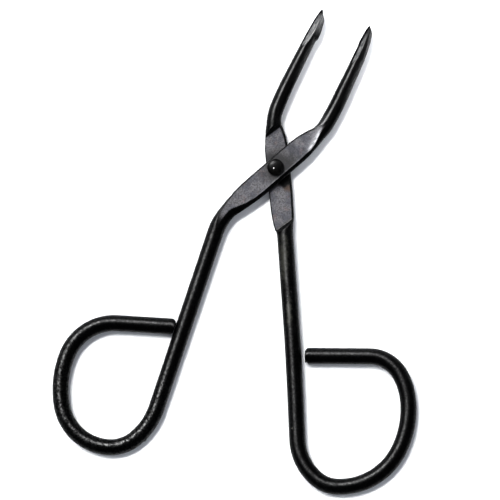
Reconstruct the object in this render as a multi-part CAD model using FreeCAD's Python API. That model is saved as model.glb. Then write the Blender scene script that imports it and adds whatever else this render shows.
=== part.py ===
"""Scissor-action tweezers: two crossed arms of bent wire on one rivet. Millimetres.

Each arm is one length of round wire. Its handle end is bent into an open finger loop, the part
that crosses the other arm is pressed into a flat plate of less than half the wire's thickness, and
its jaw end tapers to a ground tip. The rear arm carries the rivet, and the front arm turns on it.

Frame: the origin is on the pivot axis, on the flat foot of the rivet's tail. +Z runs up through
the rivet's domed head, +Y from the pivot towards the jaws, and +X to the right.
"""
import FreeCAD, Part
import math
import os

V = FreeCAD.Vector

# Heights
WIRE_RADIUS = 1.62
WIRE_LIFT = 0.68            # the wire's underside above the rivet's foot
WIRE_AXIS = WIRE_LIFT + WIRE_RADIUS
PRESSED = 0.27              # how far a plate's outer face lies inside the wire's surface
PLATE_GAP = 0.05            # running gap between the two plates
FRONT_FACE = WIRE_AXIS + WIRE_RADIUS - PRESSED
FRONT_SEAT = WIRE_AXIS + PLATE_GAP / 2
REAR_SEAT = WIRE_AXIS - PLATE_GAP / 2
REAR_FACE = WIRE_LIFT + PRESSED
PLATE_EDGE_ROUND = 0.5      # rounding along the long edges of a plate's outer face

# Rivet
SHANK_RADIUS = 0.95
SHANK_CLEARANCE = 0.05      # running clearance in the front arm's hole
HEAD_GAP = 0.03             # running gap between the head and the front plate
HEAD_RADIUS = 1.65
HEAD_HEIGHT = 1.1
HEAD_RIM = 0.25             # height of the head's upright rim, below its dome
TAIL_RADIUS = 1.5
TAIL_FOOT_RADIUS = 0.8      # flat left by the anvil that the tail was peened on

# The two arms. Distances along a plate are measured on its middle line, from the pivot towards the
# jaw. Each path is walked outwards from the pivot: ("run", length) is straight, and
# ("bend", radius, turn) is an arc that turns by so many degrees, positive to the left.
FRONT = {
    "heading": 40.7,        # direction of the plate towards its jaw, from +X
    "offset": -0.43,        # the plate's middle line, to the left of the pivot
    "jaw": (("run", 11.65), ("bend", 5.0, 19.0), ("bend", 70.0, 5.2)),
    "jaw_end": 15.2,        # straight tapered end of the jaw
    "jaw_radii": (1.46, 1.07),
    "handle": (
        ("run", 11.6), ("bend", 12.0, 30.8), ("run", 36.7), ("bend", 13.8, -31.5), ("bend", 7.8, -44.5),
        ("bend", 10.1, -76.5), ("bend", 19.0, -30.5), ("bend", 10.1, -72.0), ("run", 13.0),
    ),
    "half_widths": (        # (distance, half the plate's width)
        (-14.2, 0.8), (-12.0, 1.45), (-9.5, 2.07), (-6.0, 2.33), (0.0, 2.38), (5.0, 2.33), (8.0, 2.1),
        (10.2, 1.4), (11.6, 0.8),
    ),
    "seat": FRONT_SEAT,
    "face": FRONT_FACE,
    "tip_blank": (1.34, 0.05),  # radius of the forged tip, and its offset to the left
    "tip": (                # (along the jaw from its far end, across it to the left)
        (-8.0, 1.28), (-5.4, 1.24), (-3.6, 1.37), (-1.2, 1.16), (-0.1, 0.97), (0.0, 0.83),
        (-1.2, -0.2), (-2.2, -0.62), (-4.2, -0.95), (-6.6, -1.22), (-8.0, -1.27),
    ),
    "ridge": (0.1, 0.72),   # the tip's ridge, to the left at its start and at its end
    "skew": 59.0,           # angle from the arm to its shoulders
    "hole": SHANK_RADIUS + SHANK_CLEARANCE,
}
REAR = {
    "heading": 95.7,
    "offset": -0.6,
    "jaw": (("run", 8.0), ("bend", 8.5, -27.7), ("bend", 79.0, -4.75)),
    "jaw_end": 14.95,
    "jaw_radii": (1.41, 1.07),
    "handle": (
        ("run", 13.0), ("bend", 30.0, -1.7), ("run", 20.5), ("bend", 40.0, -0.95), ("run", 9.7),
        ("bend", 40.0, -0.55), ("run", 9.5), ("bend", 11.0, 46.0), ("bend", 6.8, 39.5),
        ("bend", 13.3, 67.0), ("bend", 18.6, 32.5), ("bend", 12.2, 24.0), ("bend", 7.0, 58.0),
        ("run", 12.8),
    ),
    "half_widths": (
        (-14.2, 0.8), (-12.4, 1.5), (-10.0, 2.17), (-7.0, 2.34), (0.0, 2.37), (3.0, 2.33), (6.0, 2.05),
        (8.0, 1.45), (9.3, 0.8),
    ),
    "seat": REAR_SEAT,
    "face": REAR_FACE,
    "tip_blank": (1.4, -0.08),
    "tip": (
        (-8.0, 1.28), (-5.2, 1.13), (-2.2, 0.96), (-0.7, 0.75), (0.0, 0.43), (-2.1, -1.0),
        (-5.6, -1.46), (-6.6, -1.21), (-8.0, -1.25),
    ),
    "ridge": (0.1, 0.2),
    "skew": -59.0,
    "hole": SHANK_RADIUS,
}
FRONT_SHANK = 2             # the step of the front handle that its loop's cut end points at
END_GAP = 0.15              # between that end, cut parallel to the shank, and the shank

# Shoulders, where a plate steps up to the full wire
JAW_SHOULDER = 7.2          # from the pivot along the arm
HANDLE_SHOULDER = 11.6

# Ground tips
RIDGE_START = 8.0           # where the roof-shaped top and bottom begin, back from the tip's end
RIDGE_HEIGHTS = (1.3, 0.45)  # the ridge above the wire's axis, at its start and at the tip's end
RIDGE_SLOPE = 33.0          # fall of each facet, away from the ridge

BIG = 40.0                  # size of the blocks that cut the plates and facets


def along(heading, distance):
    """A step in the plane of the tool."""
    angle = math.radians(heading)
    return V(distance * math.cos(angle), distance * math.sin(angle), 0)


def walk(start, heading, steps):
    """The start and heading of each step, and of the end."""
    stations = [(start, heading)]
    for step in steps:
        place, angle = stations[-1]
        if step[0] == "run":
            stations.append((place + along(angle, step[1]), angle))
        else:
            radius, turn = step[1:]
            side = math.copysign(90, turn)
            centre = place + along(angle + side, radius)
            stations.append((centre + along(angle + turn - side, radius), angle + turn))
    return stations


def wire_solids(stations, steps, radius):
    """Round wire along a path: a cylinder for each run, and a piece of a ring for each bend."""
    solids = []
    for (place, angle), step in zip(stations, steps):
        if step[0] == "run":
            solids.append(Part.makeCylinder(radius, step[1], place, along(angle, 1)))
        else:
            bend_radius, turn = step[1:]
            centre = place + along(angle + math.copysign(90, turn), bend_radius)
            section = Part.Face(Part.Wire(Part.makeCircle(radius, place, along(angle, 1))))
            solids.append(section.revolve(centre, V(0, 0, math.copysign(1, turn)), abs(turn)))
    return solids


def local_placement(place, heading):
    """A frame at place whose X axis points along heading."""
    return FreeCAD.Placement(place, FreeCAD.Rotation(V(0, 0, 1), heading))


def plate_solid(plan_middle, arm):
    """The pressed plate, with the long edges of its outer face rounded."""
    low, high = sorted((arm["seat"], arm["face"]))
    left = [V(distance, half, low) for distance, half in arm["half_widths"]]
    right = [V(distance, -half, low) for distance, half in reversed(arm["half_widths"])]
    left_curve = Part.BSplineCurve()
    left_curve.interpolate(left)
    right_curve = Part.BSplineCurve()
    right_curve.interpolate(right)
    outline = Part.Wire([
        left_curve.toShape(), Part.makeLine(left[-1], right[0]),
        right_curve.toShape(), Part.makeLine(right[-1], left[0]),
    ])
    plate = Part.Face(outline).extrude(V(0, 0, high - low))
    rounded = []
    for edge in plate.Edges:
        box = edge.BoundBox
        if box.XLength > BIG / 4 and max(abs(box.ZMin - arm["face"]), abs(box.ZMax - arm["face"])) < 0.01:
            rounded.append(edge)
    plate = plate.makeFillet(PLATE_EDGE_ROUND, rounded)
    plate.Placement = local_placement(plan_middle, arm["heading"])
    return plate


def recess_block(heading, skew, low, high):
    """Clears the wire between the two shoulders, from height low to height high."""
    direction = along(heading, 1)
    slant = along(heading + skew, BIG / 2)
    corners = [
        direction * JAW_SHOULDER + slant, direction * JAW_SHOULDER - slant,
        direction * -HANDLE_SHOULDER - slant, direction * -HANDLE_SHOULDER + slant,
    ]
    corners = [corner + V(0, 0, low) for corner in corners]
    return Part.Face(Part.makePolygon(corners + corners[:1])).extrude(V(0, 0, high - low))


def face_block(plan_middle, arm, low, high):
    """Presses the outer face flat over the plate's whole length, between two heights."""
    first, last = arm["half_widths"][0][0], arm["half_widths"][-1][0]
    block = Part.makeBox(last - first, 6 * WIRE_RADIUS, high - low, V(first, -3 * WIRE_RADIUS, low))
    block.Placement = local_placement(plan_middle, arm["heading"])
    return block


def roof_blocks(end, heading, ridge):
    """Four blocks that grind the tip to a ridge above and a ridge below."""
    start_height, end_height = RIDGE_HEIGHTS
    start_left, end_left = ridge
    pitch = math.degrees(math.atan2(start_height - end_height, RIDGE_START))
    turn = math.degrees(math.atan2(end_left - start_left, RIDGE_START))
    ridge_end = end + along(heading + 90, end_left)
    blocks = []
    for upside in (0, 180):
        for side in (-1, 1):
            block = Part.makeBox(BIG, BIG, BIG, V(-BIG / 2, -BIG / 2, 0))
            block.rotate(V(0, 0, 0), V(1, 0, 0), side * RIDGE_SLOPE)
            block.rotate(V(0, 0, 0), V(0, 1, 0), pitch)
            block.translate(V(0, 0, end_height))
            # Keep each block on its own side of the ridge.
            half = Part.makeBox(BIG, BIG, BIG, V(-RIDGE_START, min(0, -side * BIG), -BIG / 4))
            block = block.common(half)
            block.rotate(V(0, 0, 0), V(1, 0, 0), upside)
            block.Placement = local_placement(ridge_end, heading + turn).multiply(block.Placement)
            blocks.append(block)
    return blocks


def tapered_jaw(root, heading, arm):
    """The straight end of a jaw: a tapered wire with its tip forged a little wider and ground."""
    length, radii, outline = arm["jaw_end"], arm["jaw_radii"], arm["tip"]
    blank_radius, blank_offset = arm["tip_blank"]
    direction = along(heading, 1)
    jaw = Part.makeCone(radii[0], radii[1], length, root, direction)
    blank = Part.makeCylinder(blank_radius, length, root + along(heading + 90, blank_offset), direction)
    end = root + along(heading, length)
    corners = [V(distance, across, -BIG / 8) for distance, across in outline]
    prism = Part.Face(Part.makePolygon(corners + corners[:1])).extrude(V(0, 0, BIG / 4))
    prism.Placement = local_placement(end, heading)
    shaft = jaw.common(Part.makeCylinder(2 * radii[0], length + outline[0][0], root, direction))
    tip = blank.common(prism).cut(roof_blocks(end, heading, arm["ridge"]))
    return shaft.fuse(tip)


def trimmed_end(wire_end, shank_start, shank_heading):
    """Cuts the end of a loop parallel to the shank that it points at, which lies on its right."""
    block = Part.makeBox(BIG, 4 * WIRE_RADIUS, 4 * WIRE_RADIUS, V(0, 0, -2 * WIRE_RADIUS))
    block.Placement = local_placement(shank_start, shank_heading)
    block.translate(along(shank_heading - 90, WIRE_RADIUS + END_GAP))
    return wire_end.cut(block)


def arm_solid(arm):
    """One whole arm. Its plate lies between its seat, against the other arm, and its outer face."""
    heading, seat, face = arm["heading"], arm["seat"], arm["face"]
    plan_middle = along(heading + 90, arm["offset"])
    middle = plan_middle + V(0, 0, WIRE_AXIS)
    jaw_stations = walk(middle, heading, arm["jaw"])
    handle_stations = walk(middle, heading + 180, arm["handle"])
    jaw_bends = wire_solids(jaw_stations, arm["jaw"], arm["jaw_radii"][0])
    jaw_end = tapered_jaw(*jaw_stations[-1], arm)
    handle = wire_solids(handle_stations, arm["handle"], WIRE_RADIUS)
    if arm is FRONT:
        handle[-1] = trimmed_end(handle[-1], *handle_stations[FRONT_SHANK])
    wire = handle[0].fuse(handle[1:] + jaw_bends + [jaw_end])

    # The wire is cleared on the seat's side, and pressed flat on the outer face.
    outwards = math.copysign(BIG, face - seat)
    recess = recess_block(heading, arm["skew"], *sorted((seat, seat - outwards)))
    pressed = face_block(plan_middle, arm, *sorted((face, face + outwards)))
    blank = wire.cut(recess).cut(pressed).fuse(plate_solid(plan_middle, arm))
    hole = Part.makeCylinder(arm["hole"], BIG, V(0, 0, -BIG / 2), V(0, 0, 1))
    return blank.cut(hole).removeSplitter()


def pivot_rivet():
    """Domed head, shank and peened tail, turned as one profile."""
    head_base = FRONT_FACE + HEAD_GAP
    head_top = head_base + HEAD_HEIGHT
    rim_top = V(HEAD_RADIUS, 0, head_base + HEAD_RIM)
    dome_height = HEAD_HEIGHT - HEAD_RIM
    dome_radius = (HEAD_RADIUS ** 2 + dome_height ** 2) / (2 * dome_height)
    half_angle = math.asin(HEAD_RADIUS / dome_radius) / 2
    dome_drop = dome_radius * (1 - math.cos(half_angle))
    dome_middle = V(dome_radius * math.sin(half_angle), 0, head_top - dome_drop)
    tail_middle = V((TAIL_RADIUS + TAIL_FOOT_RADIUS) * 0.56, 0, REAR_FACE * 0.38)
    profile = Part.Wire([
        Part.makeLine(V(0, 0, 0), V(TAIL_FOOT_RADIUS, 0, 0)),
        Part.Arc(V(TAIL_FOOT_RADIUS, 0, 0), tail_middle, V(TAIL_RADIUS, 0, REAR_FACE)).toShape(),
        Part.makeLine(V(TAIL_RADIUS, 0, REAR_FACE), V(SHANK_RADIUS, 0, REAR_FACE)),
        Part.makeLine(V(SHANK_RADIUS, 0, REAR_FACE), V(SHANK_RADIUS, 0, head_base)),
        Part.makeLine(V(SHANK_RADIUS, 0, head_base), V(HEAD_RADIUS, 0, head_base)),
        Part.makeLine(V(HEAD_RADIUS, 0, head_base), rim_top),
        Part.Arc(rim_top, dome_middle, V(0, 0, head_top)).toShape(),
        Part.makeLine(V(0, 0, head_top), V(0, 0, 0)),
    ])
    return Part.Face(profile).revolve(V(0, 0, 0), V(0, 0, 1), 360)


def write(shape, node):
    """Writes one sub-part, and says what it is."""
    solid = shape.Solids[0]
    solid.exportStep("parts/" + node + ".step")
    box = solid.BoundBox
    print(node, "solids", len(shape.Solids), "valid", solid.isValid(), "volume", round(solid.Volume, 1),
          "box", [round(value, 2) for value in (box.XMin, box.YMin, box.ZMin, box.XMax, box.YMax, box.ZMax)])


os.makedirs("parts", exist_ok=True)
write(arm_solid(FRONT), "front_arm")
write(arm_solid(REAR), "rear_arm")
write(pivot_rivet(), "pivot_rivet")
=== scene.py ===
"""Scissor-action tweezers of blackened bent wire, lying face up on a white table.

All shapes are worked out in millimetres, in the frame of the CAD model: the origin is on the pivot
axis at the rivet's foot, +Z up through the rivet's head and +Y from the pivot towards the jaws.
Each arm is one closed mesh, swept along the arm's path: round wire that turns into a flat pressed
plate at the pivot, with a cut end on its finger loop and a ground tip on its jaw.
"""
import math

import bpy
import mathutils
import numpy as np
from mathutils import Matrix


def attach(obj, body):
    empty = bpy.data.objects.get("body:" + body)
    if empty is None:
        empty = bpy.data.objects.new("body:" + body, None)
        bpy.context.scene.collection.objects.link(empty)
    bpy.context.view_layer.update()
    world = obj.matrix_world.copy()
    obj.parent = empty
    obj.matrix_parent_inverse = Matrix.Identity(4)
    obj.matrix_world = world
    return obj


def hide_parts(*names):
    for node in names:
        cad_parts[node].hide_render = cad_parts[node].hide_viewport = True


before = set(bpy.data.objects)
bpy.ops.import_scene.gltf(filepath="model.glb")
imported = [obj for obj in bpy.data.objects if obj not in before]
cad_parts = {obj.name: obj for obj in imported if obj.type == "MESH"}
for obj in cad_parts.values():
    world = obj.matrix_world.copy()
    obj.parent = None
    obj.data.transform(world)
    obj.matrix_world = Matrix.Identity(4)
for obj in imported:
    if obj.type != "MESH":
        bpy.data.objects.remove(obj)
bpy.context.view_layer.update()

MM = 0.001

# Heights, as in the CAD model
WIRE_RADIUS = 1.62
AXIS = 2.3                  # height of the wire's axis
FRONT_FACE = 3.65
FRONT_SEAT = 2.325
REAR_SEAT = 2.275
REAR_FACE = 0.95
HEAD_BASE = 3.68
HEAD_RADIUS = 1.65
HEAD_RIM = 0.25
HEAD_TOP = 4.78
SHANK_RADIUS = 0.95
HOLE_RADIUS = 1.0
TAIL_RADIUS = 1.5
TAIL_FOOT = 0.8

# Shoulders, where a plate's seat steps to the full wire, slanted across the arm
JAW_SHOULDER = 7.2
HANDLE_SHOULDER = -11.6
SHOULDER_SHEAR = 1 / math.tan(math.radians(59))
END_GAP = 0.15              # between the front loop's cut end and the shank beside it
CUT_LENGTH = 0.9            # how far from a loop's cut end its corners are worn

RING_POINTS = 96            # points round each cross-section
FINE = 240                  # points that each half of a section is first drawn with
TIP_LENGTH = 8.6            # of the ground tip on each jaw
FLANK_REFLECTION = 0.28         # share of bare steel laid along each jaw's right flank, a painted reflection of the table

# How an end bulges out: each ring's size as a share of the last section, and its share of the depth
END_PROFILE = ((0.985, 0.25), (0.95, 0.55), (0.88, 0.85), (0.75, 1.0), (0.5, 0.96), (0.25, 0.9))
END_MIDDLE = 0.88
CUT_DEPTH = 0.16
POINT_DEPTH = 0.01


# The arms. Distances run along the arm from the pivot, positive towards the jaw; "left" is the left
# side of an arm seen from above by someone looking towards its jaw. Most rows are (distance, size)
# stations of a smooth curve. Those of a tip count from the jaw's end, and those of a cut end from the
# loop's end. A facet has its side, slope in degrees, ridge and share of bare steel. The jaw and the
# handle are runs, each with its length, and bends, each with its radius and its turn in degrees. A nick
# is its place, the way its metal is pulled, and its size.
FRONT = {
    "heading": 40.7,
    "offset": -0.43,
    "jaw": (("run", 11.65), ("bend", 5.0, 19.0), ("bend", 70.0, 5.2), ("run", 15.2)),
    "handle": (
        ("run", 11.6), ("bend", 12.0, 30.8), ("run", 36.7), ("bend", 13.8, -31.5), ("bend", 7.8, -44.5),
        ("bend", 10.1, -76.5), ("bend", 19.0, -30.5), ("bend", 10.1, -72.0), ("run", 13.0),
    ),
    "left": (
        (-17.0, 1.62), (-13.0, 1.62), (-11, 1.87), (-9, 2.18), (-7, 2.3), (-5, 2.33), (5, 2.33), (7, 2.23),
        (8, 2.08), (9, 1.9), (10, 1.65), (11, 1.45), (12, 1.47), (13, 1.5),
    ),
    "right": (
        (-17.0, 1.62), (-13, 1.63), (-11, 1.83), (-9, 2.07), (-7, 2.26), (-5, 2.36), (5, 2.36), (7, 2.26),
        (8, 2.12), (9, 1.98), (10, 1.8), (11, 1.62), (12, 1.5), (13, 1.5),
    ),
    "shear": SHOULDER_SHEAR,
    "upper": True,          # its outer face is its top
    # The painted highlight's curve at the plate's jaw end, partly rubbed metal, as (distance, across)
    # stations
    "rubbed_highlight_arc": (
        (5.0, -2.0), (6.6, -1.9), (8.0, -1.75), (9.2, -1.42), (10.34, -0.92), (11.73, -0.3), (12.87, 0.12),
        (16.5, 0.2),
    ),
    "seat": FRONT_SEAT,
    "face": FRONT_FACE,
    "seat_round": (0.6, 0.6),
    "face_round_left": (
        (-17, 1.6), (-14.5, 0.7), (-12, 0.4), (-9, 0.22), (8, 0.2), (10, 0.25), (11.5, 0.48), (13, 1.0),
        (14.2, 1.5),
    ),
    "face_round_right": (
        (-17, 1.57), (-13, 1.57), (-11, 1.2), (-9, 0.85), (-7, 0.72), (7, 0.75), (9, 0.95), (11, 1.35),
        (13, 1.5),
    ),
    "jaw_radius": ((0, 1.5), (15, 1.5), (19.7, 1.46), (26.9, 1.27), (34.9, 1.07)),
    "end_left": ((0.0, 1.45), (0.25, 1.62), (0.9, 1.62)),
    "end_right": ((0.0, 0.85), (0.1, 1.1), (0.3, 1.36), (0.8, 1.62), (0.9, 1.62)),
    "tip_left": (
        (-8.6, 1.28), (-6.2, 1.27), (-5.2, 1.24), (-4.2, 1.28), (-3.7, 1.33), (-3.2, 1.31), (-2.6, 1.25),
        (-1.7, 1.19), (-1.2, 1.15), (-0.6, 1.05), (-0.2, 0.96), (0.0, 0.84),
    ),
    "tip_right": (
        (-8.6, -1.28), (-7.2, -1.25), (-6.2, -1.16), (-5.2, -1.09), (-4.2, -0.95), (-3.2, -0.81),
        (-2.7, -0.74), (-2.2, -0.6), (-1.7, -0.48), (-1.2, -0.27), (-0.7, 0.03), (-0.2, 0.52), (0.0, 0.77),
    ),
    "tip_height": ((-8.6, 1.27), (-6.0, 1.2), (-4.0, 1.06), (-2.0, 0.8), (-0.7, 0.5), (0.0, 0.25)),
    "facets": (
        (1, 40, ((-8.6, 0.83), (-7.6, 0.5), (-6.6, 0.25), (-5.0, 0.2), (-3.0, 0.35), (-1.5, 0.5), (0.0, 0.8)),
         ((-8.6, 0.0), (-7.4, 1.0), (-5.0, 1.0), (-3.0, 0.7), (-1.5, 0.3), (0.0, 0.0))),
        (-1, 38, ((-6.5, -0.78), (-4.5, -0.5), (-2.5, -0.05), (-1.0, 0.3), (0.0, 0.78)),
         ((-6.5, 0.35), (-3.0, 0.4), (-1.0, 0.6), (0.0, 0.4))),
    ),
    "nicks": ((-26.05, -54.75, 0.16, -0.12, 0.3), (-26.5, -55.1, -0.06, 0.06, 0.3)),
    "sooty": (-3.2, 0.6),
    "black_edge": 0.42,
}
REAR = {
    "heading": 95.7,
    "offset": -0.6,
    "jaw": (("run", 8.0), ("bend", 8.5, -27.7), ("bend", 79.0, -4.75), ("run", 14.95)),
    "handle": (
        ("run", 13.0), ("bend", 30.0, -1.7), ("run", 20.5), ("bend", 40.0, -0.95), ("run", 9.7),
        ("bend", 40.0, -0.55), ("run", 9.5), ("bend", 11.0, 46.0), ("bend", 6.8, 39.5),
        ("bend", 13.3, 67.0), ("bend", 18.6, 32.5), ("bend", 12.2, 24.0), ("bend", 7.0, 58.0),
        ("run", 12.8),
    ),
    "left": (
        (-14.2, 1.62), (-13.1, 1.68), (-12.4, 1.93), (-11, 2.16), (-9, 2.34), (-7, 2.38), (3, 2.37),
        (5, 2.17), (7, 1.88), (8.5, 1.55), (10, 1.45),
    ),
    "right": (
        (-14.2, 1.62), (-13, 1.63), (-12, 1.78), (-10, 2.1), (-7, 2.27), (-5, 2.35), (4, 2.3), (6, 2.1),
        (7, 1.9), (8.5, 1.5), (10, 1.42),
    ),
    "shear": -SHOULDER_SHEAR,
    "upper": False,
    "seat": REAR_SEAT,
    "face": REAR_FACE,
    "seat_round": (0.25, 0.5),
    "face_round_left": ((-14, 1.5), (-12, 0.95), (-9, 0.7), (5, 0.6), (9, 1.45)),
    "face_round_right": ((-14, 1.5), (-12, 0.95), (-9, 0.7), (5, 0.6), (9, 1.45)),
    "jaw_radius": ((0, 1.5), (8, 1.46), (14, 1.44), (18.7, 1.37), (25.4, 1.24), (33.6, 1.07)),
    "end_left": ((0.0, 1.12), (0.12, 1.36), (0.5, 1.62), (0.9, 1.62)),
    "end_right": ((0.0, 1.4), (0.14, 1.24), (0.6, 1.62), (0.9, 1.62)),
    "tip_left": (
        (-8.6, 1.25), (-7.2, 1.22), (-5.2, 1.14), (-3.2, 1.03), (-2.2, 0.96), (-1.2, 0.82), (-0.7, 0.75),
        (-0.2, 0.61), (0.0, 0.45),
    ),
    "tip_right": (
        (-8.6, -1.25), (-7.2, -1.21), (-6.4, -1.23), (-5.7, -1.45), (-5.2, -1.43), (-4.2, -1.36),
        (-3.2, -1.17), (-2.3, -1.0), (-1.8, -0.83), (-1.2, -0.45), (-0.6, 0.0), (-0.2, 0.24), (0.0, 0.38),
    ),
    "tip_height": ((-8.6, 1.24), (-6.0, 1.14), (-4.0, 0.92), (-2.0, 0.62), (-0.7, 0.4), (0.0, 0.22)),
    "facets": (
        (1, 35, ((-8.6, 0.72), (-8.0, 0.38), (-7.0, 0.12), (-6.0, -0.05), (-4.0, -0.12), (-2.0, 0.0),
                 (0.0, 0.4)),
         ((-8.6, 0.0), (-7.6, 0.8), (-5.0, 0.9), (-3.0, 0.75), (-1.0, 0.35), (0.0, 0.2))),
        (-1, 34, ((-5.8, -0.7), (-5.55, -0.12), (-4.0, -0.12), (-2.0, 0.0), (0.0, 0.4)),
         ((-5.6, 0.0), (-4.0, 0.35), (-2.0, 0.8), (0.0, 1.0))),
    ),
    "nicks": ((6.45, -39.55, -0.12, -0.05, 0.22),),
    "sooty": (-1.6, -0.3),
    "black_edge": 0.3,
}


def along(heading, distance=1.0):
    angle = math.radians(heading)
    return np.array([distance * math.cos(angle), distance * math.sin(angle)])


def curve(stations, x):
    """A smooth curve through (x, y) stations that doesn't overshoot, level beyond its ends."""
    xs, ys = np.array(stations, float).T
    x = np.clip(x, xs[0], xs[-1])
    rise = np.diff(ys) / np.diff(xs)
    same = rise[:-1] * rise[1:] > 0
    slope = np.zeros_like(xs)
    slope[1:-1][same] = 2 / (1 / rise[:-1][same] + 1 / rise[1:][same])
    slope[0], slope[-1] = rise[0], rise[-1]
    k = np.clip(np.searchsorted(xs, x, side="right") - 1, 0, len(xs) - 2)
    width = xs[k + 1] - xs[k]
    t = (x - xs[k]) / width
    return (ys[k] * (1 + 2 * t) * (1 - t) ** 2 + slope[k] * width * t * (1 - t) ** 2
            + ys[k + 1] * t * t * (3 - 2 * t) + slope[k + 1] * width * t * t * (t - 1))


def step(low, high, x):
    """0 below low, 1 above high, smooth between."""
    t = np.clip((x - low) / (high - low), 0, 1)
    return t * t * (3 - 2 * t)


def soft_min(a, b, size):
    """The lesser of two heights, with the crease between them rounded over about size."""
    mix = np.clip(0.5 + (b - a) / (2 * size), 0, 1)
    return b + (a - b) * mix - size * mix * (1 - mix)


def walk(start, heading, steps):
    """The distance, place and heading at which each step starts, and where the last one ends."""
    stations = [(0.0, np.array(start, float), heading)]
    for kind, *sizes in steps:
        distance, place, angle = stations[-1]
        if kind == "run":
            stations.append((distance + sizes[0], place + along(angle, sizes[0]), angle))
        else:
            radius, turn = sizes
            side = math.copysign(90, turn)
            centre = place + along(angle + side, radius)
            length = radius * math.radians(abs(turn))
            stations.append((distance + length, centre + along(angle + turn - side, radius), angle + turn))
    return stations


def place_on(stations, steps, distance):
    """Place and heading at a distance along a walked path."""
    k = max(i for i in range(len(steps)) if i == 0 or stations[i][0] <= distance)
    begun, place, angle = stations[k]
    gone = distance - begun
    if steps[k][0] == "run":
        return place + along(angle, gone), angle
    radius, turn = steps[k][1:]
    side = math.copysign(90, turn)
    turned = math.copysign(math.degrees(gone / radius), turn)
    centre = place + along(angle + side, radius)
    return centre + along(angle + turned - side, radius), angle + turned


class Path:
    """The whole arm's path, with distances from the pivot: negative on the handle, positive on the jaw."""

    def __init__(self, arm):
        middle = along(arm["heading"] + 90, arm["offset"])
        self.arm = arm
        self.jaw = walk(middle, arm["heading"], arm["jaw"])
        self.handle = walk(middle, arm["heading"] + 180, arm["handle"])
        self.last = self.jaw[-1][0]
        self.first = -self.handle[-1][0]

    def at(self, s):
        if s >= 0:
            return place_on(self.jaw, self.arm["jaw"], s)
        place, heading = place_on(self.handle, self.arm["handle"], -s)
        return place, heading - 180


def spaced(first, last, zones, coarse):
    """Distances from first to last, fine inside each (start, end, spacing) zone and coarse elsewhere."""
    values = [first]
    while values[-1] < last:
        here = values[-1]
        gap = coarse
        for start, end, spacing in zones:
            outside = max(start - here, here - end, 0)
            gap = min(gap, spacing + 0.25 * outside)
        values.append(here + gap)
    values[-1] = last
    return values


def resample(v, z, count):
    """Points along a polyline, closer together where it turns, and where each lies in its list."""
    kept = np.append(True, np.hypot(np.diff(v), np.diff(z)) > 1e-6)
    v, z = v[kept], z[kept]
    dv, dz = np.diff(v), np.diff(z)
    length = np.hypot(dv, dz)
    angle = np.unwrap(np.arctan2(dz, dv))
    turning = np.abs(np.diff(angle, prepend=angle[0]))
    measure = length / length.sum() + 0.55 * turning / max(turning.sum(), 1e-6)
    total = np.concatenate([[0], np.cumsum(measure)])
    wanted = np.linspace(0, total[-1], count, endpoint=False)
    return [np.interp(wanted, total, values) for values in (v, z, np.flatnonzero(kept))]


Q = np.cos(np.linspace(0, math.pi, FINE))       # across a section, from its left edge to its right


def rounded(across, half, radius):
    """Height of a flat-topped section with elliptical corners, as a share of its full height."""
    inside = np.clip((np.abs(across) - (half - radius)) / radius, 0, 1)
    return np.sqrt(np.clip(1 - inside ** 2, 0, 1))


def wave(seed, s, pitch):
    """Slow seeded wander along the arm, from -1 to 1."""
    phases = np.random.default_rng(seed).uniform(0, 2 * math.pi, 3)
    return (math.sin(s / pitch + phases[0]) + 0.6 * math.sin(2.3 * s / pitch + phases[1])
            + 0.4 * math.sin(4.1 * s / pitch + phases[2])) / 2


def flank(v, radius):
    """1 along the right flank of a jaw, where a painted reflection of the table is laid on as bare steel,
    falling to 0 beside it.
    """
    return np.exp(-((v / radius + 0.72) / 0.24) ** 2)


def ground_tip(arm, radius, d):
    """A ground tip's section, d from the jaw's end: places across, heights, how bare (with the right flank's
    painted reflection) and how sooty.
    """
    left, right, height = (float(curve(arm[key], d)) for key in ("tip_left", "tip_right", "tip_height"))
    middle, half = (left + right) / 2, (left - right) / 2
    v = middle + half * Q
    round_radius = max(radius, left, -right) + 0.02

    def crown(place):
        return height * np.sqrt(np.clip(1 - (place / round_radius) ** 2, 0.0, 1))

    roof = crown(v)
    # The painted reflection of the table along the right flank, then bare steel on each ground facet.
    bare = FLANK_REFLECTION * flank(v, radius)
    for side, slope, ridge, share in arm["facets"]:
        edge = float(curve(ridge, d))
        plane = crown(edge) - side * (v - edge) * math.tan(math.radians(slope))
        cut = step(0.0, 0.03, roof - plane)
        bare = bare * (1 - cut) + cut * float(curve(share, d))
        roof = soft_min(roof, plane, 0.04)
    sooty = np.maximum(step(*arm["sooty"], d), 1 - step(0.7, 1.2, (left - v) / arm["black_edge"]))
    bare = bare * step(0.05, 0.2, half * (1 - np.abs(Q))) * (1 - sooty)
    rim = min(0.12, half * 0.6) * np.sqrt(np.clip(1 - Q ** 2, 0, 1))
    edge_fall = np.sqrt(np.clip(1 - Q ** 8, 0, 1))
    return v, np.maximum(roof * edge_fall, rim), bare, sooty


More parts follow.
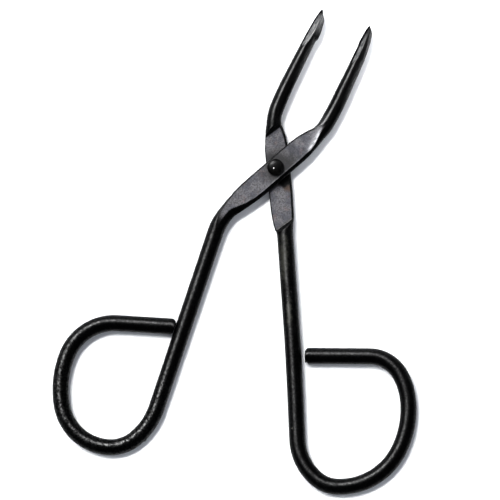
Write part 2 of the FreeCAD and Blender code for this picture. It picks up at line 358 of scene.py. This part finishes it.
def section(arm, path, s, shear):
    """One cross-section: the left-to-right places and heights of its points, and their finishes."""
    upper = arm["upper"]
    left, right = 2.0, 2.0
    for _ in range(6):
        left = float(curve(arm["left"], s + shear * left))
        right = float(curve(arm["right"], s - shear * right))
    radius = float(curve(arm["jaw_radius"], s)) if s > 0 else WIRE_RADIUS
    if s < path.first + CUT_LENGTH:
        left, right = (float(curve(arm[key], s - path.first)) for key in ("end_left", "end_right"))
    beyond_plate = arm["left"][-1][0]
    if s > beyond_plate:
        left = right = radius
    first_plate = arm["left"][0][0]
    if s < first_plate:
        wander = 0.005 * (1 + wave(3 if upper else 5, s, 4.0))
        left -= wander
        right -= 0.005 * (1 + wave(7 if upper else 9, s, 5.5))
        radius -= wander / 2
    plate = float(step(first_plate, -8.5, s) * (1 - step(7.5, beyond_plate + 1.0, s)))
    middle, half = (left - right) / 2, (left + right) / 2
    v = middle + half * Q

    # The plate side of each half is drawn from the level where the section is widest.
    sign = 1 if upper else -1
    waist = AXIS + plate * ((arm["seat"] + arm["face"]) / 2 - AXIS)
    full = AXIS + sign * radius
    crest = arm["face"] + (full - arm["face"]) * (1 - plate)
    u = s + shear * v
    round_left = np.minimum(curve(arm["face_round_left"], u), half)
    round_right = np.minimum(curve(arm["face_round_right"], u), half)
    corner = np.where(v > middle, round_left, round_right)
    if plate <= 0:
        corner = np.full_like(v, half)
    face = waist + (crest - waist) * rounded(v - middle, half, corner)
    flat = step(-0.02, 0.1, (half - corner) - np.abs(v - middle)) * step(0.0, 0.35, plate)

    # The seat's side: the plate, a ramp at each shoulder, and the full wire beyond.
    wire = AXIS - sign * radius * np.sqrt(np.clip(1 - Q ** 2, 0, 1))
    seat_corner = np.where(v > middle, *arm["seat_round"])
    seat = waist + (arm["seat"] - waist) * rounded(v - middle, half, seat_corner)
    jaw_ramp = s - JAW_SHOULDER
    handle_ramp = HANDLE_SHOULDER - s + 0.9
    rise = 1.35 * max(jaw_ramp, 0.0) + 0.14 * max(handle_ramp, 0.0) ** 2 + 1.7 * max(handle_ramp - 1.0, 0.0)
    if s > beyond_plate or s < first_plate:
        seat = wire
        worn = np.zeros_like(v)
    else:
        climbing = soft_min(-sign * (seat - AXIS) + rise, -sign * (wire - AXIS), 0.06)
        seat = AXIS - sign * climbing
        rubbed = step(-0.12, 0.03, (half - seat_corner) - np.abs(v - middle))
        worn = rubbed * (1 - step(0.0, 0.2, jaw_ramp)) * (1 - step(0.1, 1.0, handle_ramp))

    rubbed_highlight = np.zeros_like(v)
    sooty = np.zeros_like(v)
    if upper:
        # Rubbed metal with a painted highlight along the plate's right edge, and across the corner at its jaw
        # end where the plate runs into the jaw's wire.
        off = v + arm["offset"] - curve(arm["rubbed_highlight_arc"], u)
        beside = np.where(off < 0, np.exp(-(off / 0.13) ** 2),
                          0.75 * np.exp(-(off / 0.42) ** 2) + 0.25 * np.exp(-(off / 1.1) ** 2))
        highlight_arc = step(6.4, 8.2, u) * (1 - 0.8 * step(10.6, 12.6, u)) * (1 - step(13.0, 16.5, u)) * beside
        edge_highlight = np.exp(-((v - middle + half - round_right) / 0.14) ** 2)
        rubbed_highlight = highlight_arc + 0.3 * flat * edge_highlight * step(-12.5, -9.0, u) * (1 - step(6.0, 8.0, u))

    # A painted reflection of the table, laid on as bare steel along the jaw's right flank.
    bare = FLANK_REFLECTION * flank(v, radius) * float(step(17.0, 24.0, s))
    if s - path.last > -TIP_LENGTH:
        v, roof, bare, sooty = ground_tip(arm, radius, s - path.last)
        face, seat = AXIS + sign * roof, AXIS - sign * roof
        flat = worn = rubbed_highlight = np.zeros_like(v)
        waist = AXIS

    # Each half goes from the left edge to the right edge. The seat's half takes in the upright sides.
    face_v, face_z, face_k = resample(v, face, RING_POINTS // 2)
    seat_v = np.concatenate([[v[-1]], v[::-1], [v[0]]])
    seat_z = np.concatenate([[waist], seat[::-1], [waist]])
    back_v, back_z, back_k = resample(seat_v, seat_z, RING_POINTS // 2)
    fine = np.arange(FINE)

    def finish(on_face, on_seat):
        padded = np.concatenate([[0], on_seat[::-1], [0]])
        on_back = np.interp(back_k, np.arange(len(padded)), padded)
        return np.concatenate([np.interp(face_k, fine, on_face), on_back])

    return (np.concatenate([face_v, back_v]), np.concatenate([face_z, back_z]),
            finish(flat, worn), finish(bare, bare), finish(rubbed_highlight, np.zeros_like(v)), finish(sooty, sooty))


def end_rings(ring_points, inward, depth):
    """Closes an end: rings that round its edge, then shrink to its middle. inward points into the wire."""
    centre = ring_points.mean(axis=0)
    rings = []
    for share, bulge in END_PROFILE:
        rings.append(centre + (ring_points - centre) * share - inward * depth * bulge)
    return rings, centre - inward * depth * END_MIDDLE


def arm_mesh(name, arm):
    """One arm as a closed mesh, with its finishes, its lay and its axis as attributes."""
    path = Path(arm)
    end_shear = 0.0
    if arm is FRONT:
        # The loop's end is cut parallel to the shank that it points at.
        _, shank_start, shank_heading = path.handle[2]
        _, run_start, run_heading = path.handle[-2]
        side = along(shank_heading - 90)
        short = WIRE_RADIUS + END_GAP + 0.06 - (run_start - shank_start) @ side
        path.first = -(path.handle[-2][0] + short / (along(run_heading) @ side))
        direction = along(shank_heading)
        end_shear = (direction @ along(run_heading + 180)) / (direction @ along(run_heading + 270))
    first, last = path.first, path.last
    fine_zones = (
        (first, first + 1.5, 0.1), (-14.5, -10.0, 0.08), (-10.0, 6.5, 0.16), (6.5, 14.0, 0.07),
        (last - 10.0, last, 0.07),
    )
    places, finishes, lays, axes = [], [], [], []
    for s in spaced(first, last - 0.001, fine_zones, 0.45):
        plan, heading = path.at(s)
        shear = arm["shear"] * float(step(-16.5, -12.5, s) * (1 - step(8.6, 13.5, s)))
        shear += end_shear * (1 - float(step(first, first + 3.0, s)))
        v, z, *finish = section(arm, path, s, shear)
        across, forward = along(heading + 90), along(heading)
        flat_place = plan + np.outer(v, across + shear * forward)
        places.append(np.column_stack([flat_place, z]))
        finishes.append(np.column_stack(finish))
        girth = np.arctan2(z - AXIS, v) * WIRE_RADIUS
        lays.append(np.column_stack([s + shear * v, girth, 0 * v]))
        axes.append(np.tile([forward[0], forward[1], 0.0], (len(v), 1)))

    # Close both ends.
    cut_inward = np.append(along(path.at(first)[1]), 0)
    tip_inward = -np.append(along(path.at(last - 0.001)[1]), 0)
    cut_rings, cut_centre = end_rings(places[0], cut_inward, CUT_DEPTH)
    tip_rings, tip_centre = end_rings(places[-1], tip_inward, POINT_DEPTH)
    ordered = cut_rings[::-1] + places + tip_rings
    extra = len(END_PROFILE)
    finishes = [finishes[0] * 0] * extra + finishes + [finishes[-1]] * extra
    lays = [lays[0]] * extra + lays + [lays[-1]] * extra
    axes = [axes[0]] * extra + axes + [axes[-1]] * extra
    points = np.concatenate(ordered + [cut_centre[None], tip_centre[None]])
    finish = np.concatenate(finishes + [finishes[0][:1] * 0, finishes[-1][:1]])
    lay = np.concatenate(lays + [lays[0][:1], lays[-1][:1]])
    axis = np.concatenate(axes + [axes[0][:1], axes[-1][:1]])

    for x, y, pull_x, pull_y, size in arm["nicks"]:
        near = np.exp(-(np.linalg.norm(points[:, :2] - (x, y), axis=1) / size) ** 2)
        points[:, :2] += near[:, None] * (pull_x, pull_y)

    count = len(ordered)
    index = np.arange(count * RING_POINTS).reshape(count, RING_POINTS)
    turned = np.roll(index, -1, axis=1)
    quads = np.stack([index[:-1], turned[:-1], turned[1:], index[1:]], axis=-1).reshape(-1, 4)
    cut_point, tip_point = count * RING_POINTS, count * RING_POINTS + 1
    caps = [(cut_point, int(b), int(a)) for a, b in zip(index[0], turned[0])]
    caps += [(tip_point, int(a), int(b)) for a, b in zip(index[-1], turned[-1])]
    faces = [tuple(map(int, quad)) for quad in quads] + caps
    if arm["upper"]:
        faces = [face[::-1] for face in faces]

    mesh = bpy.data.meshes.new(name)
    mesh.from_pydata((points * MM).tolist(), [], faces)
    for column, attribute in enumerate(("pressed", "ground", "rubbed_highlight", "sooty")):
        layer = mesh.attributes.new(attribute, "FLOAT", "POINT")
        layer.data.foreach_set("value", finish[:, column].astype(np.float32))
    for attribute, vectors in (("lay", lay * MM), ("axis", axis)):
        layer = mesh.attributes.new(attribute, "FLOAT_VECTOR", "POINT")
        layer.data.foreach_set("vector", vectors.astype(np.float32).ravel())
    mesh.polygons.foreach_set("use_smooth", [True] * len(mesh.polygons))
    mesh.update()
    made = bpy.data.objects.new(name, mesh)
    bpy.context.collection.objects.link(made)
    return made


front_arm = arm_mesh("front_arm_wire", FRONT)
rear_arm = arm_mesh("rear_arm_wire", REAR)


def turned_mesh(name, profile, segments=96):
    """A closed solid of revolution about the pivot, from (radius, height) points, foot first."""
    angles = np.linspace(0, 2 * math.pi, segments, endpoint=False)
    points = [(0.0, 0.0, profile[0][1])]
    for radius, height in profile:
        points += [(radius * math.cos(t), radius * math.sin(t), height) for t in angles]
    points.append((0.0, 0.0, profile[-1][1]))
    faces = []
    for k in range(segments):
        following = (k + 1) % segments
        faces.append((0, 1 + following, 1 + k))
        for row in range(len(profile) - 1):
            low, high = 1 + row * segments, 1 + (row + 1) * segments
            faces.append((low + k, low + following, high + following, high + k))
        top = 1 + (len(profile) - 1) * segments
        faces.append((len(points) - 1, top + k, top + following))
    mesh = bpy.data.meshes.new(name)
    mesh.from_pydata((np.array(points) * MM).tolist(), [], faces)
    mesh.polygons.foreach_set("use_smooth", [True] * len(mesh.polygons))
    made = bpy.data.objects.new(name, mesh)
    bpy.context.collection.objects.link(made)
    return made


def rivet_profile():
    """Half of the rivet's section, from the middle of its foot to the middle of its head."""
    points = [(share * TAIL_FOOT, 0.0) for share in (0.3, 0.6, 0.85, 1.0)]
    for t in np.linspace(0.1, 1, 12):
        angle = t * math.pi / 2
        points.append((TAIL_FOOT + (TAIL_RADIUS - TAIL_FOOT) * math.sin(angle), 0.9 * (1 - math.cos(angle))))
    points += [(TAIL_RADIUS, 0.93), (TAIL_RADIUS - 0.03, REAR_FACE - 0.002), (1.2, REAR_FACE - 0.002),
               (SHANK_RADIUS - 0.01, REAR_FACE - 0.002)]
    points += [(SHANK_RADIUS - 0.01, height) for height in np.linspace(REAR_FACE + 0.2, HEAD_BASE - 0.1, 8)]
    points += [(SHANK_RADIUS - 0.01, HEAD_BASE), (1.3, HEAD_BASE), (HEAD_RADIUS - 0.06, HEAD_BASE),
               (HEAD_RADIUS - 0.015, HEAD_BASE + 0.02), (HEAD_RADIUS, HEAD_BASE + 0.07),
               (HEAD_RADIUS, HEAD_BASE + HEAD_RIM - 0.06)]
    drop = HEAD_TOP - HEAD_BASE - HEAD_RIM
    for t in np.linspace(0, 1, 28)[:-1]:
        angle = t * math.pi / 2
        radius = HEAD_RADIUS * math.cos(angle) ** 0.75
        points.append((radius, HEAD_BASE + HEAD_RIM + drop * math.sin(angle)))
    return points


def cut_hole(arm, cutter):
    """Cuts the rivet's hole through an arm and applies the cut."""
    cut = arm.modifiers.new("hole", "BOOLEAN")
    cut.operation = "DIFFERENCE"
    cut.solver = "EXACT"
    cut.object = cutter
    whole = arm.data
    arm.data = bpy.data.meshes.new_from_object(arm.evaluated_get(bpy.context.evaluated_depsgraph_get()))
    arm.modifiers.remove(cut)
    bpy.data.meshes.remove(whole)


rivet = turned_mesh("pivot_rivet_turned", rivet_profile())
hole_cutter = turned_mesh("hole_cutter", [(HOLE_RADIUS, -1.0), (HOLE_RADIUS, HEAD_TOP)])
cut_hole(front_arm, hole_cutter)
cut_hole(rear_arm, hole_cutter)
bpy.data.objects.remove(hole_cutter)


# Materials

class Shader:
    """Builds one material's node tree around a Principled BSDF."""

    def __init__(self, name):
        self.material = bpy.data.materials.new(name)
        self.material.use_nodes = True
        self.tree = self.material.node_tree
        self.surface = self.tree.nodes["Principled BSDF"]
        self.place = self.add("ShaderNodeTexCoord").outputs["Object"]

    def add(self, kind, **settings):
        made = self.tree.nodes.new(kind)
        for setting, value in settings.items():
            setattr(made, setting, value)
        return made

    def feed(self, socket, value):
        if isinstance(value, bpy.types.NodeSocket):
            self.tree.links.new(value, socket)
        elif isinstance(value, tuple) and len(value) == 3 and socket.type == "RGBA":
            socket.default_value = (*value, 1.0)
        else:
            socket.default_value = value

    def noise(self, size, detail=3.0, rough=0.55, vector=None):
        """Noise whose features are about size millimetres across."""
        made = self.add("ShaderNodeTexNoise")
        self.feed(made.inputs["Vector"], vector or self.place)
        self.feed(made.inputs["Scale"], 1 / (size * MM))
        self.feed(made.inputs["Detail"], detail)
        self.feed(made.inputs["Roughness"], rough)
        return made.outputs["Fac"]

    def ramp(self, value, low, high, out_low=0.0, out_high=1.0):
        made = self.add("ShaderNodeMapRange", interpolation_type="SMOOTHSTEP")
        for socket, given in zip(made.inputs, (value, low, high, out_low, out_high)):
            self.feed(socket, given)
        return made.outputs["Result"]

    def maths(self, operation, a, b=0.0):
        made = self.add("ShaderNodeMath", operation=operation)
        self.feed(made.inputs[0], a)
        self.feed(made.inputs[1], b)
        return made.outputs["Value"]

    def mix(self, share, a, b):
        made = self.add("ShaderNodeMix", data_type="RGBA")
        self.feed(made.inputs["Factor"], share)
        self.feed(made.inputs[6], a)
        self.feed(made.inputs[7], b)
        return made.outputs[2]

    def mix_value(self, share, a, b):
        made = self.add("ShaderNodeMix", data_type="FLOAT")
        self.feed(made.inputs["Factor"], share)
        self.feed(made.inputs[2], a)
        self.feed(made.inputs[3], b)
        return made.outputs[0]

    def attribute(self, name, output="Fac"):
        return self.add("ShaderNodeAttribute", attribute_name=name).outputs[output]

    def scaled(self, vector, scale):
        made = self.add("ShaderNodeVectorMath", operation="MULTIPLY")
        self.feed(made.inputs[0], vector)
        self.feed(made.inputs[1], scale)
        return made.outputs["Vector"]

    def away_from(self, point, vector=None):
        """Distance in metres from a point given in millimetres."""
        made = self.add("ShaderNodeVectorMath", operation="DISTANCE")
        self.feed(made.inputs[0], vector or self.place)
        self.feed(made.inputs[1], tuple(value * MM for value in point))
        return made.outputs["Value"]

    def bump(self, height, depth, strength=1.0, normal=None):
        made = self.add("ShaderNodeBump")
        self.feed(made.inputs["Height"], height)
        self.feed(made.inputs["Distance"], depth * MM)
        self.feed(made.inputs["Strength"], strength)
        if normal is not None:
            self.feed(made.inputs["Normal"], normal)
        return made.outputs["Normal"]


# Spots where the oxide is knocked off, and rubs on the rear shank that also paint in a wider highlight, as
# places and sizes in millimetres
CHIPS = ((3.4, -52.2, 0.02), (4.5, -42.7, 0.06))
CHIP_COLOUR = (0.25, 0.24, 0.21)
RUBS_AND_HIGHLIGHTS = ((1.6, -18.2, 1.0), (2.7, -29.0, 0.55))
RUB_AND_HIGHLIGHT_COLOUR = (0.04, 0.04, 0.034)
RUB_STRETCH = 5.0           # a rub's length as a multiple of its width, along the shanks

# Places on the plates, darker towards the pivot, rust, and a painted shadow with some grime beside the front
# plate's edge; and the rivet's crown, worn and with a painted highlight
PIVOT_DARKENING_PLACE = (0.6, 0.3, AXIS)
RUST_PLACE = (2.6, -4.0, REAR_SEAT)
SHADE_AND_GRIME_PLACE = (2.0, -2.2, REAR_SEAT)
SPARKLE_PLACE = (-35.0, -50.0, AXIS)    # the front loop's lower end, where the oxide glitters
WORN_CROWN_HIGHLIGHT = (-0.36, -0.2, HEAD_TOP - 0.04)


def arm_material():
    """Black oxide on the wire, rubbed grey on the pressed plate, and bare steel where it was ground; with
    painted highlights, a painted reflection and a painted shadow laid into the colour.
    """
    sh = Shader("blackened_steel")
    pressed, ground, rubbed_highlight, sooty = (sh.attribute(name) for name in ("pressed", "ground", "rubbed_highlight", "sooty"))
    lay = sh.attribute("lay", "Vector")
    split = sh.add("ShaderNodeSeparateXYZ")
    sh.feed(split.inputs["Vector"], lay)
    along_arm = split.outputs["X"]
    drawn = sh.noise(0.12, 2.0, vector=sh.scaled(lay, (0.04, 1.0, 1.0)))
    blotch = sh.noise(1.6, 4.0)
    grain = sh.noise(0.16, 4.0, 0.6)
    specks = sh.noise(0.45, 5.0, 0.65)

    oxide = sh.mix(sh.ramp(blotch, 0.35, 0.7), (0.0012, 0.0012, 0.0015), (0.003, 0.003, 0.0034))
    worn = sh.maths("MULTIPLY", sh.ramp(specks, 0.62, 0.72), sh.ramp(sh.noise(9.0, 2.0), 0.5, 0.66))
    oxide = sh.mix(worn, oxide, (0.05, 0.05, 0.052))

    mottle = sh.noise(2.2, 4.0, 0.6)
    plate = sh.mix(sh.ramp(mottle, 0.38, 0.62), (0.092, 0.092, 0.105), (0.145, 0.141, 0.147))
    warm = sh.ramp(sh.noise(1.5, 3.0), 0.58, 0.7)
    plate = sh.mix(sh.maths("MULTIPLY", warm, 0.45), plate, (0.17, 0.125, 0.12))
    speckle = sh.noise(0.32, 3.0, 0.7)
    plate = sh.mix(sh.ramp(speckle, 0.4, 0.64, 0.0, 0.75), plate, (0.055, 0.054, 0.056))
    # Darker towards the pivot, with a ragged edge.
    pivot = sh.away_from(PIVOT_DARKENING_PLACE)
    pivot = sh.maths("ADD", pivot, sh.maths("MULTIPLY", sh.noise(2.5, 3.0), 0.004))
    pivot_darkening = sh.ramp(pivot, 0.0038, 0.0075, 0.82, 0.0)
    plate = sh.mix(pivot_darkening, plate, (0.035, 0.034, 0.033))
    ragged = sh.maths("MULTIPLY", sh.noise(0.9, 5.0, 0.6), 0.0018)
    rust = sh.ramp(sh.maths("ADD", sh.away_from(RUST_PLACE), ragged), 0.0011, 0.0022, 0.85, 0.0)
    plate = sh.mix(rust, plate, (0.075, 0.05, 0.035))
    # Painted shadow of the front plate's edge on the rear plate, with some grime: near-black within about 3
    # mm of this place.
    shade_and_grime = sh.ramp(sh.maths("ADD", sh.away_from(SHADE_AND_GRIME_PLACE), ragged), 0.0022, 0.0031, 1.0, 0.0)
    plate = sh.mix(shade_and_grime, plate, (0.004, 0.004, 0.004))

    brushed = sh.noise(0.35, 4.0, 0.65, vector=sh.scaled(lay, (0.3, 1.0, 1.0)))
    steel = sh.mix(sh.ramp(brushed, 0.38, 0.62), (0.085, 0.085, 0.09), (0.29, 0.287, 0.283))
    colour = sh.mix(pressed, oxide, plate)
    # Bare steel on the ground facets, and along each jaw's right flank as a painted reflection of the table.
    colour = sh.mix(ground, colour, steel)
    # The rubbed plate edge and corner, lightened towards white: partly rubbed metal, partly a painted
    # highlight.
    streak = sh.noise(0.11, 2.0, vector=sh.scaled(lay, (0.12, 1.0, 1.0)))
    painted_glint = sh.maths("MULTIPLY", rubbed_highlight, sh.ramp(streak, 0.3, 0.6, 0.25, 1.0))
    colour = sh.mix(painted_glint, colour, (0.55, 0.55, 0.56))
    # Chips of bare steel; and grey rubs on the rear shank, partly worn oxide, partly a painted highlight.
    for spots, stretch, shade in ((RUBS_AND_HIGHLIGHTS, RUB_STRETCH, RUB_AND_HIGHLIGHT_COLOUR), (CHIPS, 1.0, CHIP_COLOUR)):
        for x, y, size in spots:
            squeezed = sh.scaled(sh.place, (1.0, 1 / stretch, 1.0))
            away = sh.away_from((x, y / stretch, AXIS + WIRE_RADIUS), squeezed)
            edge = sh.maths("ADD", away, ragged)
            spot = sh.ramp(edge, 0.0009 + 0.4 * size * MM, 0.0012 + size * MM, 1.0, 0.0)
            colour = sh.mix(spot, colour, shade)
    sh.feed(sh.surface.inputs["Base Color"], colour)

    rough = sh.mix_value(pressed, sh.ramp(specks, 0.3, 0.7, 0.45, 0.58), 0.6)
    rough = sh.mix_value(ground, rough, 0.42)
    rough = sh.maths("MULTIPLY", rough, sh.ramp(along_arm, 0.009, 0.013, 1.0, 0.85))
    sh.feed(sh.surface.inputs["Roughness"], rough)
    metal = sh.maths("MAXIMUM", sh.maths("MULTIPLY", pressed, 0.1), sh.maths("MULTIPLY", ground, 0.4))
    sh.feed(sh.surface.inputs["Metallic"], sh.maths("MAXIMUM", metal, sh.maths("MULTIPLY", painted_glint, 0.3)))
    sparkle = sh.ramp(sh.noise(0.4, 5.0, 0.7), 0.4, 0.62, 0.03, 0.5)
    smooth = sh.ramp(sh.noise(0.5, 3.0, vector=sh.scaled(lay, (0.15, 1.0, 1.0))), 0.3, 0.7, 0.12, 0.2)
    rubbed_loop = sh.ramp(sh.away_from(SPARKLE_PLACE), 0.011, 0.02, 1.0, 0.35)
    on_jaw = sh.ramp(along_arm, 0.009, 0.013)
    glitter = sh.mix_value(rubbed_loop, smooth, sparkle)
    glitter = sh.mix_value(on_jaw, glitter, sh.maths("MULTIPLY", smooth, 1.3))
    glitter = sh.mix_value(pressed, glitter, 0.15)
    sh.feed(sh.surface.inputs["Specular IOR Level"], sh.mix_value(sooty, glitter, 0.03))
    sh.feed(sh.surface.inputs["Anisotropic"], sh.mix_value(pressed, 0.8, 0.0))
    tangent = sh.add("ShaderNodeVectorTransform", vector_type="VECTOR",
                     convert_from="OBJECT", convert_to="WORLD")
    sh.feed(tangent.inputs["Vector"], sh.attribute("axis", "Vector"))
    sh.feed(sh.surface.inputs["Tangent"], tangent.outputs["Vector"])

    normal = sh.bump(specks, 0.02)
    normal = sh.bump(drawn, 0.006, normal=normal)
    normal = sh.bump(grain, 0.02, normal=normal)
    sh.feed(sh.surface.inputs["Normal"], normal)
    return sh.material


def rivet_material():
    """Satin black oxide, with a pip on the crown painted near white: worn steel with a painted highlight."""
    sh = Shader("blackened_rivet_steel")
    grain = sh.noise(0.2, 4.0, 0.6)
    blotch = sh.noise(0.7, 3.0)
    colour = sh.mix(sh.ramp(blotch, 0.35, 0.7), (0.002, 0.002, 0.002), (0.006, 0.006, 0.0055))
    # A worn pip on the crown, painted near white as a highlight.
    from_pip = sh.maths("ADD", sh.away_from(WORN_CROWN_HIGHLIGHT), sh.maths("MULTIPLY", grain, 0.0003))
    colour = sh.mix(sh.ramp(from_pip, 0.00022, 0.00036, 1.0, 0.0), colour, (0.7, 0.7, 0.68))
    sh.feed(sh.surface.inputs["Base Color"], colour)
    sh.feed(sh.surface.inputs["Roughness"], sh.ramp(grain, 0.3, 0.7, 0.4, 0.55))
    sh.surface.inputs["Specular IOR Level"].default_value = 0.12
    sh.feed(sh.surface.inputs["Normal"], sh.bump(blotch, 0.03, normal=sh.bump(grain, 0.012)))
    return sh.material


steel = arm_material()
front_arm.data.materials.append(steel)
rear_arm.data.materials.append(steel)
rivet.data.materials.append(rivet_material())

for piece, body, node, finish in (
        (front_arm, "front", "front_arm", "blackened_arm"),
        (rear_arm, "rear", "rear_arm", "blackened_arm"),
        (rivet, "rear", "pivot_rivet", "blackened_rivet")):
    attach(piece, body)
    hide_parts(node)


# Table, light and camera
TABLE_SLOPE = (-0.00193, -0.01102)     # the tool rests on the rivet's foot and on both loops
TABLE_DROP = 0.01                       # millimetres under the rivet's foot, which tips a little
TABLE_SIZE = 4.0

table_mesh = bpy.data.meshes.new("table")
reach = TABLE_SIZE / 2
table_mesh.from_pydata(
    [(x, y, TABLE_SLOPE[0] * x + TABLE_SLOPE[1] * y - TABLE_DROP * MM) for x, y in
     ((-reach, -reach), (reach, -reach), (reach, reach), (-reach, reach))], [], [(0, 1, 2, 3)])
table = bpy.data.objects.new("table", table_mesh)
bpy.context.collection.objects.link(table)
paint = Shader("white_table")
paint.surface.inputs["Base Color"].default_value = (0.86, 0.86, 0.86, 1)
paint.surface.inputs["Roughness"].default_value = 0.9
paint.surface.inputs["Specular IOR Level"].default_value = 0.1
table_mesh.materials.append(paint.material)

LIGHT_DISTANCE = 4.0
FILL_PLACE = (40.0, 45.0, 22.0)         # a small lamp beyond the jaws, which fills their shadows
FILL_TARGET = (15.0, 24.0, 0.0)
FILL_SIZE = 50.0
FILL_POWER = 0.013


def softbox(name, heading, tilt, size, power, **seen_by):
    """An oval light, size towards its heading and across it, tilted from overhead and facing the tool."""
    data = bpy.data.lights.new(name, "AREA")
    data.shape = "ELLIPSE"
    data.size, data.size_y = size
    data.energy = power
    made = bpy.data.objects.new(name, data)
    bpy.context.collection.objects.link(made)
    for ray, seen in seen_by.items():
        setattr(made, "visible_" + ray, seen)
    angle = math.radians(tilt)
    aside = along(heading, LIGHT_DISTANCE * math.sin(angle))
    made.location = (*aside, LIGHT_DISTANCE * math.cos(angle))
    made.rotation_euler = (0, angle, math.radians(heading))


softbox("key", heading=127.0, tilt=26.0, size=(0.8, 2.0), power=156.0, glossy=False)
softbox("sheen", heading=125.0, tilt=48.0, size=(1.4, 1.4), power=720.0, diffuse=False)

fill_data = bpy.data.lights.new("fill", "AREA")
fill_data.shape = "DISK"
fill_data.size = FILL_SIZE * MM
fill_data.energy = FILL_POWER
fill = bpy.data.objects.new("fill", fill_data)
bpy.context.collection.objects.link(fill)
fill.location = np.array(FILL_PLACE) * MM
backward = mathutils.Vector(np.array(FILL_PLACE) - np.array(FILL_TARGET))
fill.rotation_euler = backward.to_track_quat("Z", "Y").to_euler()
fill.visible_camera = False

world = bpy.data.worlds.new("studio")
world.use_nodes = True
background = world.node_tree.nodes["Background"]
background.inputs["Color"].default_value = (0.88, 0.92, 1.0, 1)
background.inputs["Strength"].default_value = 0.44
world.cycles_visibility.glossy = False
bpy.context.scene.world = world

VIEW_CENTRE = (-5.08, -16.54)           # the point under the lens, in millimetres
VIEW_WIDTH = 100.0                      # seen across the picture at the wire's height
CAMERA_HEIGHT = 900.0
camera_data = bpy.data.cameras.new("camera")
camera_data.sensor_width = 36.0
camera_data.lens = camera_data.sensor_width * (CAMERA_HEIGHT - AXIS) / VIEW_WIDTH
camera = bpy.data.objects.new("camera", camera_data)
camera.location = (VIEW_CENTRE[0] * MM, VIEW_CENTRE[1] * MM, CAMERA_HEIGHT * MM)
bpy.context.collection.objects.link(camera)
bpy.context.scene.camera = camera
bpy.context.scene.view_settings.view_transform = "Standard"
bpy.context.scene.view_settings.look = "High Contrast"
